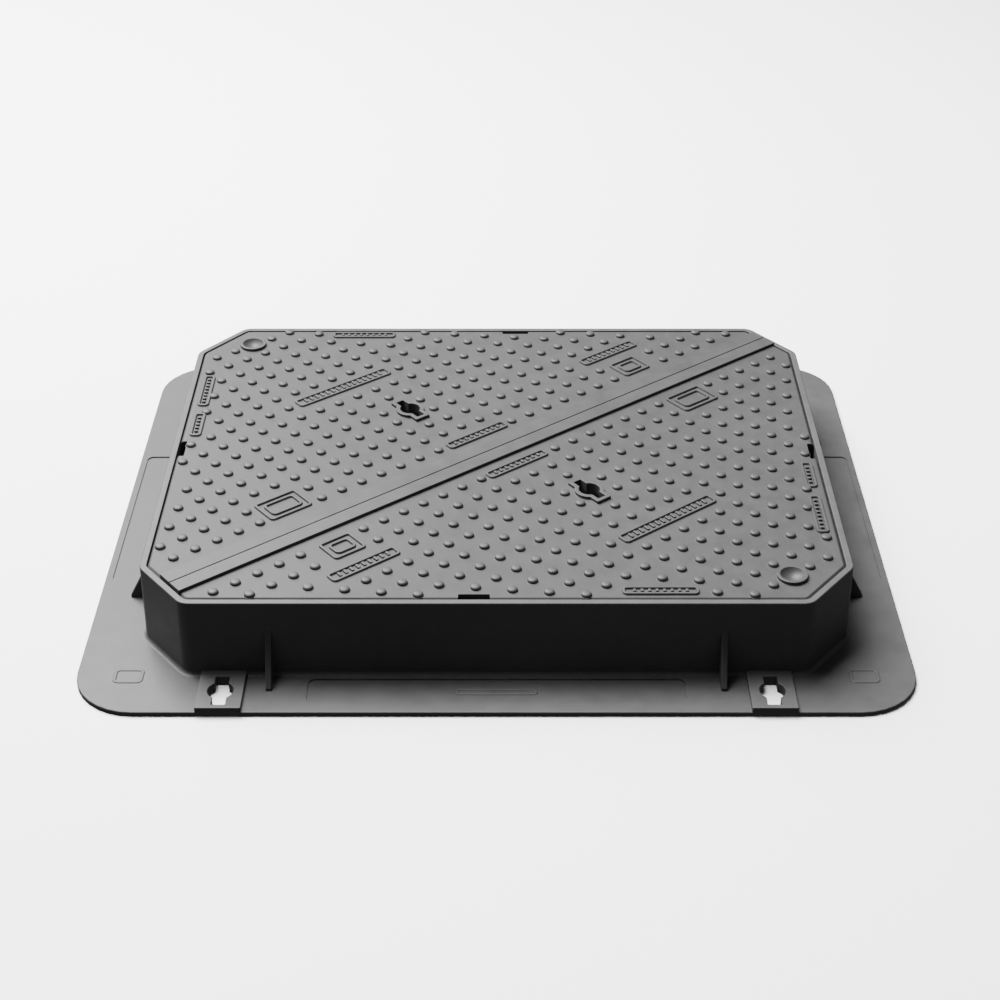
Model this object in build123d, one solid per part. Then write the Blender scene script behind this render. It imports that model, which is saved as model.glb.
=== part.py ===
from build123d import *
import math
import os

# Double triangular manhole cover and frame, 750 x 600 mm clear opening, 100 mm deep.
# The origin is at the centre of the frame's underside. +X runs along the long side,
# +Y along the short side and +Z up. The two leaves meet along a diagonal of the opening.
# Leaf features are placed by s, the distance along that diagonal from the centre, and
# t, the distance square to it, which is negative on the front leaf. All sizes are in mm.

# Clear opening and frame wall
CLEAR_X = 750
CLEAR_Y = 600
FRAME_DEPTH = 100
WALL_LEDGE = 6.5          # lip at the foot of the wall, inside
RIM_LAND = 7.5            # width of the rim's top face
CORNER_LEG = 54           # length cut off the long side at each rim corner
RIM_RADIUS = 18
RIM_EDGE = 1.5
WALL_DRAFT = 0.75         # degrees
WALL_FILLET = 7

# Flange
FLANGE_X = 910
FLANGE_Y = 760
FLANGE_THICKNESS = 6
FLANGE_RADIUS = 70
FLANGE_EDGE = 1.5
PANEL_DEPTH = 1
PANEL_RADIUS = 8
LONG_PANEL = (406, 41)
SHORT_PANEL = (44, 278)
PANEL_MARGIN = 16         # flange edge to panel, long sides
SIDE_PANEL_MARGIN = 8     # flange edge to panel, short sides
MARK_SIZE = (32, 24)      # blank raised mark at the front corners of the flange
MARK_RADIUS = 6
MARK_PLACE = (398, 318)
MARK_HEIGHT = 1
PLATE_MARK_SIZE = (88, 10)  # blank raised mark in the front panel
PLATE_MARK_RADIUS = 3

# Fixing lugs and their keyhole slots
LUG_X = 294.5
LUG_WIDTH = 49
LUG_HEIGHT = 12
FIXING_Y = 350
FIXING_SLOT_WIDTH = 15
FIXING_SLOT_LENGTH = 48
FIXING_HOLE_RADIUS = 14

# Ribs outside the wall
GUSSET_X = 244
GUSSET_Y = 168
GUSSET_REACH = 30
GUSSET_TOP = 66
GUSSET_THICKNESS = 6.5
GUSSET_TOE = 3

# Corner seats that carry the leaves
SEAT_TOP = 50
SEAT_THICKNESS = 12
SEAT_WIDTH = 40           # from the inside of the wall
SEAT_WEB = 8
SEAT_LENGTH = 250         # of the strip across a corner that the seat is cut from
SEAT_OVERLAP = 12         # frame seat's inner edge to the leaf's foot
FOOT_INSET = 3            # leaf's outline to its foot

# Leaves
LEAF_GAP = 1.2            # between leaf and rim
JOINT_GAP = 1             # between the two leaves
PLATE = 8
LEAF_EDGE = 2.5
SKIRT = 13
JOINT_SKIRT = 9.5
RIB = 7
RIB_PITCH = 84
RIB_FOOT = 52             # height of the underside of the ribs
FIRST_RIB_T = 97.5
POCKET_DRAFT = 2          # degrees
CORNER_BLOCK = 30         # solid corner over each seat
SMALLEST_POCKET = 20000   # cubic mm

# Raised tread on the leaves
RELIEF = 4
BAND = 20                 # half-width of the smooth band along the joint
STUD_PITCH = 28
STUD_RADIUS = 6
FIRST_STUD_T = 41.25
STUD_ROWS = 14
STUD_MARGIN = 5.6         # stud centre to leaf edge, at least
BORDER_HEIGHT = 2.5
BORDER_WIDTH = 3
BORDER_RADIUS = 5

# Key slot, lifting bowl and edge notches
KEY_S = 25.4
KEY_T = -139.5
KEY_SLOT_WIDTH = 10.5
KEY_SLOT_LENGTH = 44
KEY_HOLE_RADIUS = 12.25
KEY_LIP = 5
BOWL_X = 319.4
BOWL_Y = -264.5
BOWL_OUTER = 17
BOWL_INNER = 13.5
BOWL_DEPTH = 8
NOTCH_LENGTH = 34
NOTCH_WIDTH = 8
NOTCH_DEPTH = 22
FRONT_NOTCH_X = -24
SIDE_NOTCH_Y = -3

# Coupling bolts, M16, square to the joint
BOLT_S = 126
BOLT_Z = 72
BOLT_RADIUS = 8
BOLT_HOLE_RADIUS = 10
BOLT_BOSS_RADIUS = 18
BOLT_BOSS_T = 12          # face of the boss, from the joint
BOLT_LENGTH = 50
HEAD_HEIGHT = 10
NUT_HEIGHT = 13
ACROSS_FLATS = 24
WASHER_RADIUS = 15
WASHER_HOLE = 8.75
WASHER_THICKNESS = 3
NUT_BORE = 8.1
NUT_PLAY = 1              # slack that lets each leaf settle on its own seats

# Worked out from the sizes above
RIM_X = CLEAR_X + 2 * (WALL_LEDGE + RIM_LAND)
RIM_Y = CLEAR_Y + 2 * (WALL_LEDGE + RIM_LAND)
DIAGONAL = math.degrees(math.atan2(CLEAR_Y, CLEAR_X))
COS = math.cos(math.radians(DIAGONAL))
SIN = math.sin(math.radians(DIAGONAL))
RIM_CUT = (RIM_X / 2 - CORNER_LEG) * COS + RIM_Y / 2 * SIN
LEAF_INSET = RIM_LAND + LEAF_GAP
LEAF_RADIUS = RIM_RADIUS - LEAF_INSET
LEAF_TOP = FRAME_DEPTH
SEAT_CUT = RIM_CUT - RIM_LAND - SEAT_WIDTH
BLOCK_CUT = RIM_CUT - LEAF_INSET - CORNER_BLOCK

# Blank raised borders on a leaf: centre, size, and True where they follow the diagonal
BORDERS = (
    ((56.5, -239), (139, 18), True),
    ((-2, -41), (88, 15), True),
    ((-262, -55), (42, 36), True),
    ((-264, -99), (90, 17), True),
    ((267, -56), (56, 40), True),
    ((175.5, -292), (82, 14), False),
    ((365, -142), (14, 76), False),
    ((365, -58), (14, 54), False),
)

# Places with no stud, as (lowest s, highest s, lowest row, highest row)
BARE_PLACES = (
    (-290, -245, 0, 1),
    (-310, -220, 2, 2),
    (-30, 30, 0, 0),
    (250, 282, 0, 1),
    (20, 30, 3, 4),
    (-5, 115, 7, 7),
    (250, 255, 8, 8),
    (-60, -50, 10, 10),
    (-30, -25, 11, 11),
    (190, 200, 11, 11),
    (80, 90, 13, 13),
)


def diagonal_frame(shape):
    """Turns a shape drawn along X so that it lies along the joint."""
    return Rot(0, 0, DIAGONAL) * shape


def octagon(inset, radius):
    """Plan of the rim, moved in by inset, with its corners cut square to the diagonals."""
    half_x = RIM_X / 2 - inset
    half_y = RIM_Y / 2 - inset
    cut = RIM_CUT - inset
    cut_x = (cut - half_y * SIN) / COS
    cut_y = (cut - half_x * COS) / SIN
    quarter = [(half_x, cut_y), (cut_x, half_y)]
    points = quarter + [(-x, y) for x, y in reversed(quarter)]
    points = points + [(-x, -y) for x, y in points]
    outline = make_face(Polyline(*points, close=True))
    return fillet(outline.vertices(), radius)


def corner_strips(near, far):
    """Strips square to the diagonals at all four corners, from near to far."""
    strip = Pos((near + far) / 2, 0) * Rectangle(far - near, SEAT_LENGTH)
    angles = (DIAGONAL, 180 - DIAGONAL, 180 + DIAGONAL, -DIAGONAL)
    return Sketch() + [Rot(0, 0, angle) * strip for angle in angles]


def border(size, radius):
    """Blank raised border: a rounded rectangle with its middle taken out."""
    inner = (size[0] - 2 * BORDER_WIDTH, size[1] - 2 * BORDER_WIDTH)
    return RectangleRounded(*size, radius) - RectangleRounded(*inner, radius / 2)


# Frame

def gusset(reach, low, high, thickness):
    """Triangular rib standing in the XZ plane, with its upright side on the wall at x = 0."""
    root = -RIM_LAND / 2
    profile = Polyline(
        (root, low), (reach, low), (reach, low + GUSSET_TOE), (0, high), (root, high), close=True
    )
    return extrude(Plane.XZ * make_face(profile), thickness / 2, both=True)


def outer_gussets():
    rib = gusset(GUSSET_REACH, FLANGE_THICKNESS / 2, GUSSET_TOP, GUSSET_THICKNESS)
    ribs = []
    for side in (-1, 1):
        for end in (-1, 1):
            ribs.append(Pos(end * GUSSET_X, side * RIM_Y / 2) * Rot(0, 0, side * 90) * rib)
            ribs.append(Pos(side * RIM_X / 2, end * GUSSET_Y) * Rot(0, 0, 90 - side * 90) * rib)
    return ribs


def fixing_lugs():
    """Thick pads between wall and flange edge, one for each fixing slot."""
    length = (FLANGE_Y - RIM_Y) / 2 + RIM_LAND / 2
    lug = Pos(0, 0, LUG_HEIGHT / 2) * Box(LUG_WIDTH, length, LUG_HEIGHT)
    y = FLANGE_Y / 2 - length / 2
    return [Pos(x, side * y) * lug for x in (-LUG_X, LUG_X) for side in (-1, 1)]


def fixing_slots():
    """Keyhole cutters: a slot along Y crossed by a round hole."""
    plan = Rectangle(FIXING_SLOT_WIDTH, FIXING_SLOT_LENGTH) + Circle(FIXING_HOLE_RADIUS)
    cutter = extrude(plan, LUG_HEIGHT)
    return [Pos(x, y) * cutter for x in (-LUG_X, LUG_X) for y in (-FIXING_Y, FIXING_Y)]


def flange_panels():
    """Shallow sunk panels in the middle of each side of the flange."""
    long_y = FLANGE_Y / 2 - PANEL_MARGIN - LONG_PANEL[1] / 2
    short_x = FLANGE_X / 2 - SIDE_PANEL_MARGIN - SHORT_PANEL[0] / 2
    long_side = extrude(RectangleRounded(*LONG_PANEL, PANEL_RADIUS), PANEL_DEPTH)
    short_side = extrude(RectangleRounded(*SHORT_PANEL, PANEL_RADIUS), PANEL_DEPTH)
    level = FLANGE_THICKNESS - PANEL_DEPTH
    panels = [Pos(0, side * long_y, level) * long_side for side in (-1, 1)]
    return panels + [Pos(side * short_x, 0, level) * short_side for side in (-1, 1)]


def flange_marks():
    """Blank raised marks: one at each front corner and one in the front panel."""
    mark = extrude(border(MARK_SIZE, MARK_RADIUS), MARK_HEIGHT)
    plate = extrude(border(PLATE_MARK_SIZE, PLATE_MARK_RADIUS), MARK_HEIGHT)
    plate_y = -(FLANGE_Y / 2 - PANEL_MARGIN - LONG_PANEL[1] / 2)
    marks = [Pos(side * MARK_PLACE[0], -MARK_PLACE[1], FLANGE_THICKNESS) * mark for side in (-1, 1)]
    return marks + [Pos(0, plate_y, FLANGE_THICKNESS - PANEL_DEPTH) * plate]


def corner_seats():
    """Shelves across the four corners, each on a web that stands along the diagonal."""
    shelf_plan = octagon(RIM_LAND / 2, RIM_RADIUS - RIM_LAND / 2)
    shelf_plan = shelf_plan & corner_strips(SEAT_CUT, RIM_CUT + RIM_LAND)
    shelves = extrude(Pos(0, 0, SEAT_TOP - SEAT_THICKNESS) * shelf_plan, SEAT_THICKNESS)
    web = Polyline(
        (RIM_CUT - RIM_LAND / 2, 0),
        (RIM_CUT - RIM_LAND - WALL_LEDGE, 0),
        (SEAT_CUT + GUSSET_TOE, SEAT_TOP - SEAT_THICKNESS),
        (RIM_CUT - RIM_LAND / 2, SEAT_TOP - SEAT_THICKNESS),
        close=True,
    )
    web = extrude(Plane.XZ * make_face(web), SEAT_WEB / 2, both=True)
    angles = (DIAGONAL, 180 - DIAGONAL, 180 + DIAGONAL, -DIAGONAL)
    return [shelves] + [Rot(0, 0, angle) * web for angle in angles]


def frame_casting():
    flange = extrude(RectangleRounded(FLANGE_X, FLANGE_Y, FLANGE_RADIUS), FLANGE_THICKNESS)
    flange = fillet(flange.faces().sort_by(Axis.Z)[-1].edges(), FLANGE_EDGE)
    rim = Pos(0, 0, FRAME_DEPTH) * octagon(0, RIM_RADIUS)
    wall = extrude(rim, -FRAME_DEPTH, taper=-WALL_DRAFT)
    wall = fillet(wall.faces().sort_by(Axis.Z)[-1].edges(), RIM_EDGE)
    casting = flange + wall
    level = casting.edges().filter_by_position(Axis.Z, FLANGE_THICKNESS, FLANGE_THICKNESS)
    foot = [edge for edge in level if abs(edge.center().X) < RIM_X / 2 + WALL_FILLET]
    foot = [edge for edge in foot if abs(edge.center().Y) < RIM_Y / 2 + WALL_FILLET]
    casting = fillet(foot, WALL_FILLET)
    casting = casting - flange_panels()
    casting = casting + flange_marks() + outer_gussets() + fixing_lugs()
    opening = octagon(RIM_LAND + WALL_LEDGE, RIM_RADIUS - RIM_LAND - WALL_LEDGE)
    well = Pos(0, 0, FLANGE_THICKNESS) * octagon(RIM_LAND, RIM_RADIUS - RIM_LAND)
    casting = casting - extrude(opening, FRAME_DEPTH) - extrude(well, FRAME_DEPTH)
    return casting + corner_seats() - fixing_slots()


# Leaf

def leaf_plan(inset, radius, joint_inset):
    """Plan of the front leaf: the rim's octagon below the joint, moved in by inset."""
    below = Pos(0, -joint_inset - FLANGE_X / 2) * Rectangle(2 * FLANGE_X, FLANGE_X)
    return octagon(inset, radius) & diagonal_frame(below)


def pockets():
    """Cells between the ribs, open at the bottom and drawn in towards the top."""
    height = LEAF_TOP - PLATE - RIB_FOOT
    area = leaf_plan(LEAF_INSET + SKIRT, LEAF_RADIUS, JOINT_SKIRT + JOINT_GAP / 2)
    area = area - corner_strips(BLOCK_CUT, RIM_CUT)
    room = Pos(0, 0, RIB_FOOT) * extrude(area, height, taper=POCKET_DRAFT)
    first = extrude(Rectangle(RIB_PITCH - RIB, FIRST_RIB_T - RIB / 2), height, taper=POCKET_DRAFT)
    cell = extrude(Rectangle(RIB_PITCH - RIB, RIB_PITCH - RIB), height, taper=POCKET_DRAFT)
    key = extrude(Rectangle(2 * RIB_PITCH - RIB, RIB_PITCH - RIB), height, taper=POCKET_DRAFT)
    cells = [Pos(0, KEY_T, RIB_FOOT) * key]
    for column in range(-6, 6):
        s = (column + 0.5) * RIB_PITCH
        cells.append(Pos(s, -(FIRST_RIB_T - RIB / 2) / 2, RIB_FOOT) * first)
        for row in range(4):
            t = -FIRST_RIB_T - (row + 0.5) * RIB_PITCH
            cells.append(Pos(s, t, RIB_FOOT) * cell)
    cut = [room & diagonal_frame(drawn) for drawn in cells]
    return [solid for part in cut if part for solid in part.solids() if solid.volume > SMALLEST_POCKET]


def seat_feet():
    """Pads under the leaf's corner blocks that rest on the frame's seats."""
    plan = leaf_plan(LEAF_INSET + FOOT_INSET, LEAF_RADIUS, JOINT_SKIRT)
    plan = plan & corner_strips(SEAT_CUT + SEAT_OVERLAP, RIM_CUT)
    return extrude(Pos(0, 0, SEAT_TOP) * plan, RIB_FOOT - SEAT_TOP + 1)


def stud_places():
    """Centres of the studs on the front leaf, on a square lattice along the joint."""
    places = []
    for row in range(STUD_ROWS):
        for column in range(-17, 18):
            s = STUD_PITCH * column
            t = -FIRST_STUD_T - STUD_PITCH * row
            bare = any(
                low <= s <= high and first <= row <= last
                for low, high, first, last in BARE_PLACES
            )
            x = s * COS - t * SIN
            y = s * SIN + t * COS
            room_x = RIM_X / 2 - LEAF_INSET - abs(x)
            room_y = RIM_Y / 2 - LEAF_INSET - abs(y)
            room_cut = RIM_CUT - LEAF_INSET - abs(x) * COS - abs(y) * SIN
            if not bare and min(room_x, room_y, room_cut) >= STUD_MARGIN:
                places.append((x, y))
    return places


def studs():
    """Domed studs, each rooted 1 mm deep in the plate."""
    radius = (STUD_RADIUS**2 + RELIEF**2) / (2 * RELIEF)
    upper = Pos(0, 0, radius) * Box(2 * radius, 2 * radius, 2 * radius)
    dome = Pos(0, 0, RELIEF - radius) * Sphere(radius) & upper
    stud = dome + Pos(0, 0, -0.5) * Cylinder(STUD_RADIUS, 1)
    return [Pos(x, y, LEAF_TOP) * stud for x, y in stud_places()]


def key_plan(margin):
    """Key slot square to the joint, crossed by a round hole, grown by margin."""
    slot = Rectangle(KEY_SLOT_WIDTH + 2 * margin, KEY_SLOT_LENGTH + 2 * margin)
    plan = slot + Circle(KEY_HOLE_RADIUS + margin)
    return diagonal_frame(Pos(KEY_S, KEY_T) * plan)


def raised_borders():
    shapes = []
    for centre, size, along in BORDERS:
        shape = Pos(*centre) * border(size, BORDER_RADIUS)
        shapes.append(diagonal_frame(shape) if along else shape)
    return extrude(Pos(0, 0, LEAF_TOP) * (Sketch() + shapes), BORDER_HEIGHT)


def notches():
    """Pockets in the leaf's outer edges for a lifting bar."""
    x = RIM_X / 2 - LEAF_INSET
    y = -RIM_Y / 2 + LEAF_INSET
    z = LEAF_TOP - NOTCH_DEPTH / 2
    long_side = Box(NOTCH_LENGTH, 2 * NOTCH_WIDTH, NOTCH_DEPTH)
    short_side = Box(2 * NOTCH_WIDTH, NOTCH_LENGTH, NOTCH_DEPTH)
    return [Pos(FRONT_NOTCH_X, y, z) * long_side, Pos(x, SIDE_NOTCH_Y, z) * short_side]


def across_joint(s, t, shape):
    """Places a shape drawn along +Z so that it runs square to the joint, from t towards +t."""
    turned = Plane(origin=(s, t, BOLT_Z), x_dir=(0, 0, 1), z_dir=(0, 1, 0)) * shape
    return diagonal_frame(turned)


def front_leaf_casting():
    plan = leaf_plan(LEAF_INSET, LEAF_RADIUS, JOINT_GAP / 2)
    leaf = extrude(Pos(0, 0, RIB_FOOT) * plan, LEAF_TOP - RIB_FOOT)
    top_edges = leaf.faces().sort_by(Axis.Z)[-1].edges().sort_by(SortBy.LENGTH)
    leaf = chamfer(top_edges[:-1], LEAF_EDGE)
    leaf = leaf - pockets() + seat_feet()
    band = plan & diagonal_frame(Rectangle(2 * FLANGE_X, 2 * BAND))
    leaf = leaf + extrude(Pos(0, 0, LEAF_TOP - PLATE / 2) * band, PLATE / 2 + RELIEF)
    leaf = leaf + extrude(Pos(0, 0, LEAF_TOP) * key_plan(KEY_LIP), RELIEF)
    leaf = leaf - extrude(Pos(0, 0, LEAF_TOP - 2 * PLATE) * key_plan(0), 3 * PLATE)
    leaf = leaf + raised_borders()
    leaf = leaf + Pos(BOWL_X, BOWL_Y, LEAF_TOP + RELIEF / 2) * Cylinder(BOWL_OUTER, RELIEF)
    dish_radius = (BOWL_INNER**2 + BOWL_DEPTH**2) / (2 * BOWL_DEPTH)
    dish_z = LEAF_TOP + RELIEF - BOWL_DEPTH + dish_radius
    leaf = leaf - Pos(BOWL_X, BOWL_Y, dish_z) * Sphere(dish_radius)
    leaf = leaf - notches()
    boss = Pos(0, 0, BOLT_BOSS_T / 4) * Cylinder(BOLT_BOSS_RADIUS, BOLT_BOSS_T / 2)
    hole = Pos(0, 0, BOLT_BOSS_T / 2) * Cylinder(BOLT_HOLE_RADIUS, 2 * BOLT_BOSS_T)
    for s in (-BOLT_S, BOLT_S):
        leaf = leaf + across_joint(s, -BOLT_BOSS_T, boss)
        leaf = leaf - across_joint(s, -BOLT_BOSS_T, hole)
    return leaf + studs()


# Fasteners

def hexagon(height):
    return extrude(RegularPolygon(ACROSS_FLATS / 2, 6, major_radius=False), height)


def bolt():
    """Hexagon bolt with its head below z = 0 and its shank above."""
    shank = Pos(0, 0, BOLT_LENGTH / 2) * Cylinder(BOLT_RADIUS, BOLT_LENGTH)
    return Pos(0, 0, -HEAD_HEIGHT) * hexagon(HEAD_HEIGHT) + shank


def washer():
    return extrude(Circle(WASHER_RADIUS) - Circle(WASHER_HOLE), WASHER_THICKNESS)


def nut():
    return hexagon(NUT_HEIGHT) - Pos(0, 0, NUT_HEIGHT / 2) * Cylinder(NUT_BORE, 2 * NUT_HEIGHT)


def build_parts():
    front_leaf = front_leaf_casting()
    parts = {
        "frame": frame_casting(),
        "front_leaf": front_leaf,
        "rear_leaf": Rot(0, 0, 180) * front_leaf,
    }
    seat = BOLT_BOSS_T + WASHER_THICKNESS
    for side, s in (("left", -BOLT_S), ("right", BOLT_S)):
        parts[f"coupling_bolt_{side}"] = across_joint(s, -seat, bolt())
        parts[f"head_washer_{side}"] = across_joint(s, -seat, washer())
        parts[f"nut_washer_{side}"] = across_joint(s, BOLT_BOSS_T, washer())
        parts[f"coupling_nut_{side}"] = across_joint(s, seat + NUT_PLAY, nut())
    return parts


os.makedirs("parts", exist_ok=True)
for name, shape in build_parts().items():
    export_step(shape, f"parts/{name}.step")
    print(name, len(shape.solids()), "solid", round(shape.volume / 1000), "cm3")
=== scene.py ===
import math
import bpy
from mathutils import Matrix, Vector


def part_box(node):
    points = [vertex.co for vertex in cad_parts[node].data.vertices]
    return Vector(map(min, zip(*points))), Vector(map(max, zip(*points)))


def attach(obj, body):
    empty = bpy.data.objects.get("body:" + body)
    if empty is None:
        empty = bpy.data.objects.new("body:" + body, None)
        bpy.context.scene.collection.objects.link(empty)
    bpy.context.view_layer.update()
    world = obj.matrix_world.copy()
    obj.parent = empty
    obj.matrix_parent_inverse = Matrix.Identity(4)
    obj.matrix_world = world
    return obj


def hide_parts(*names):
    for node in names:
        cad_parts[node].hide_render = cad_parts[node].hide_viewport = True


# Looks for the double triangular manhole cover. The pieces are drawn in millimetres from
# outlines and edge profiles, and joined and cut as solids. new_object turns them into metres.
# s runs along the joint between the leaves from the centre, and t square to it, as on the
# CAD model: t is negative on the front leaf, and the rear leaf is the same turned half round.

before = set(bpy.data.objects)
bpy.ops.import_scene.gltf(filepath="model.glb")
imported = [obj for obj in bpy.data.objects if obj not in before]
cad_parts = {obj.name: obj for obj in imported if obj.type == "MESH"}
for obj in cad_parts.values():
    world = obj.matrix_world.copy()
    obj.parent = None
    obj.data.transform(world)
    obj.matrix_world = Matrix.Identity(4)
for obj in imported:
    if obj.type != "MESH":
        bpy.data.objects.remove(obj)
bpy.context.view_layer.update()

MM = 0.001
ARC_STEPS = 4                  # straight pieces in a quarter round of an edge
SMALL_ARC_STEPS = 3            # and in one of the smaller ones
FILLET_STEPS = 6               # and in the fillet at the foot of the wall
PLAN_STEPS = 8                 # and in a quarter turn of an outline
CORNER_SHARE = 0.45            # the most of a short side that the arc at one end takes
HOLE_COUNT = 48                # corners of the circles for holes and their lips
NEARLY_SHARP = 0.1             # corner radius of a plan that is meant to be sharp
NUDGE = 0.01                   # keeps the end of a curve off the face that it meets
ROOT = 0.6                     # how far a raised feature reaches into the face it stands on
OVERCUT = 1                    # how far a cutter passes a face, or parts of a fastener overlap
SHARP_ANGLE = math.radians(32)

# Sizes read from the frame
frame_low, frame_high = (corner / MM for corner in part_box("frame"))
leaf_low, leaf_high = (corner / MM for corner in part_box("front_leaf"))
FLANGE_X, FLANGE_Y, FRAME_DEPTH = frame_high - frame_low
TREAD_TOP = leaf_high.z
SEAT_TOP = leaf_low.z

# Frame
CLEAR_X, CLEAR_Y = 750, 600
WALL_LEDGE = 6.5
RIM_LAND = 7.5
CORNER_LEG = 54
RIM_RADIUS = 18
RIM_X = CLEAR_X + 2 * (WALL_LEDGE + RIM_LAND)
RIM_Y = CLEAR_Y + 2 * (WALL_LEDGE + RIM_LAND)
RIM_ROUND, LAND_ROUND = 1.5, 0.8   # outer and inner edge of the rim's top
WELL_DRAFT, WELL_LIP = 0.4, 1  # how much narrower the well is at its foot, from 1 below its top
WALL_SPREAD = 1.2              # how much wider the wall is at its foot
WALL_FILLET = 5                # 2 tighter than on the CAD model
FLANGE_THICKNESS = 6
FLANGE_RADIUS = 70
FLANGE_ROUNDS = (0.8, 1.5)     # lower and upper edge
PANEL_DEPTH = 1.6              # 0.6 more than on the CAD model, so that the panels' edges read
PANEL_RADIUS, PANEL_ROUND = 8, 0.2
LONG_PANEL, LONG_PANEL_MARGIN = (406, 41), 16
LONG_PANEL_Y = FLANGE_Y / 2 - LONG_PANEL_MARGIN - LONG_PANEL[1] / 2
SHORT_PANEL, SHORT_PANEL_MARGIN = (44, 278), 8
SHORT_PANEL_X = FLANGE_X / 2 - SHORT_PANEL_MARGIN - SHORT_PANEL[0] / 2
MARK_HEIGHT = 1
MARK_SIZE, MARK_RADIUS, MARK_PLACE = (32, 24), 6, (398, 318)
PLATE_MARK, PLATE_MARK_RADIUS = (88, 10), 4
FOOT_RISE = 0.4                # lugs and webs start this far above the frame's underside
LUG_X, LUG_WIDTH, LUG_HEIGHT = 294.5, 49, 12
LUG_RADIUS, LUG_ROUNDS = 1.5, (0.4, 0.9)
FIXING_Y, FIXING_SLOT, FIXING_HOLE = 350, (15, 48), 14
FIXING_RADIUS, FIXING_ROUND = 1.2, 0.6
GUSSET_X, GUSSET_Y, GUSSET_THICKNESS = 244, 168, 6.5
GUSSET_REACH, GUSSET_TOP, GUSSET_TOE, GUSSET_RADIUS = 30, 66, 3, 1.5
WEB_ROUND = 1.2                # edges of the gussets and of the webs under the seats
SEAT_THICKNESS, SEAT_WIDTH, SEAT_WEB = 12, 40, 8
SEAT_RADIUS, SEAT_ROUNDS = 3, (2, 1.5)
SEAT_WEB_SETBACK, SEAT_WEB_RADIUS = 4, 1

# Leaves
LEAF_INSET = RIM_LAND + 1.2
JOINT_EDGE = 0.5
LEAF_TOP = FRAME_DEPTH
RELIEF = TREAD_TOP - LEAF_TOP
PLATE = 8
FOOT_HEIGHT = 2                # of the pads under the leaf's corners
RIB_FOOT = SEAT_TOP + FOOT_HEIGHT
FOOT_INSET, FOOT_SETBACK, FOOT_RADIUS, FOOT_ROUND = 3, 12, 3, 0.6
LEAF_FOOT = ((1.2, 0), (0.35, 0.35), (0, 1.2))     # (inset, rise) from the rib foot
LEAF_CHAMFER = ((0, -2.9), (0.3, -2.2), (2.2, -0.3), (2.9, 0))     # from the leaf's top
SKIRT, JOINT_SKIRT = 13, 10
RIB, RIB_PITCH, FIRST_RIB = 7, 84, 97.5
RIB_COLUMNS, RIB_ROWS = 6, 4   # columns each side of the middle, and rows past the first rib
RIB_ROUND = 1.5
POCKET_DRAFT = math.tan(math.radians(2))
POCKET_RADIUS, POCKET_ROUND = 5.5, 3
SHORTEST_POCKET_SIDE = 14
CORNER_BLOCK = 30
SMALLEST_PLAN = 520            # square mm: smaller pockets and pads are left out
BAND, BAND_ROOT, BAND_ROUND = 20, 3, 0.8
STUD_PITCH, STUD_RADIUS = 28, 6
STUD_FULLNESS = 0.5            # 1 is an ellipse, and less has steeper sides
STUD_FOOT = ((0.7, -ROOT), (0.7, NUDGE), (0.2, 0.12), (-0.05, 0.45))   # (outset, rise)
STUD_DOME, STUD_STEPS = 0.5, 8     # where the dome starts, and the steps up its side
FIRST_STUD, STUD_ROWS, STUD_COLUMNS, STUD_MARGIN = 41.25, 14, 17, 5.6
BORDER_HEIGHT, BORDER_WIDTH, BORDER_RADIUS = 2.5, 3, 5
# Up the side of a border, as (inset, share of its height)
BORDER_SIDE = ((-0.6, 0), (-0.2, 0.35), (0, 0.7), (0.35, 0.93), (0.9, 1))
INNER_BORDER_STEP, INNER_BORDER_RADIUS = 2.5 * BORDER_WIDTH, 6
BAR_WIDTH, BAR_PITCH = 3.4, 8      # plain bars inside the long borders
BAR_RADIUS, BAR_ROUNDS = 1.2, (0.3, 0.7)
KEY_PLACE = (25.4, -139.5)     # along the joint and square to it
KEY_SLOT, KEY_HOLE, KEY_RADIUS, KEY_ROUND = (10.5, 44), 12.25, 1, 0.7
KEY_LIP, KEY_LIP_RADIUS, KEY_LIP_ROUNDS = 5, 2, (0.5, 0.9)
BOWL_PLACE, BOWL_OUTER, BOWL_INNER, BOWL_DEPTH = (319.4, -264.5), 17, 13.5, 8
BOWL_ROUNDS = (0.6, 1)
BOWL_LIP = ((0.8, 2), (0.8, NUDGE), (0.25, -0.2))  # (outset, rise) of the dish's rounded lip
BOWL_STEPS, BOWL_REACH = 8, 0.985  # steps down the dish, and the share of its arc that they take
NOTCH, NOTCH_RADIUS, NOTCH_ROUND = (34, 8, 22), 1.5, 1
FRONT_NOTCH_X, SIDE_NOTCH_Y = -24, -3

# Coupling bolts
BOLT_S, BOLT_Z = 126, 72
BOLT_RADIUS, BOLT_LENGTH, BOLT_CORNERS = 8, 50, 36
SHANK_RADIUS, BORE_RADIUS = BOLT_RADIUS - 0.1, BOLT_RADIUS + 0.1
THREAD_ROOT, THREAD_CREST = BOLT_RADIUS - 1.2, BOLT_RADIUS - 0.05
THREAD_PITCH, THREAD_LENGTH, RINGS_PER_TURN = 2, 38, 8
CREST_HEIGHT, FLANK_STEEPNESS = 1.25, 1.6      # trapezoid of the thread, held to 0..1
BOSS_T, BOSS_RADIUS, BOSS_HOLE, BOSS_ROUND = 12, 18, 10, 1
ACROSS_FLATS, HEAD_HEIGHT, NUT_HEIGHT, HEX_RADIUS = 24, 10, 13, 0.4
HEX_CHAMFER, CHAMFER_INSET, CONE_MARGIN = math.radians(30), 0.4, 0.2
COLLAR_RADIUS, COLLAR_HEIGHT = ACROSS_FLATS / 2 - 0.8, 0.4     # round face under the head
COUNTERSINK_OUT, COUNTERSINK_IN, COUNTERSINK_DEPTH = 1, 0.2, 1.2
WASHER_RADIUS, WASHER_HOLE, WASHER_THICKNESS, WASHER_ROUND = 15, 8.75, 3, 0.4
NUT_PLAY = 1

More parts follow.
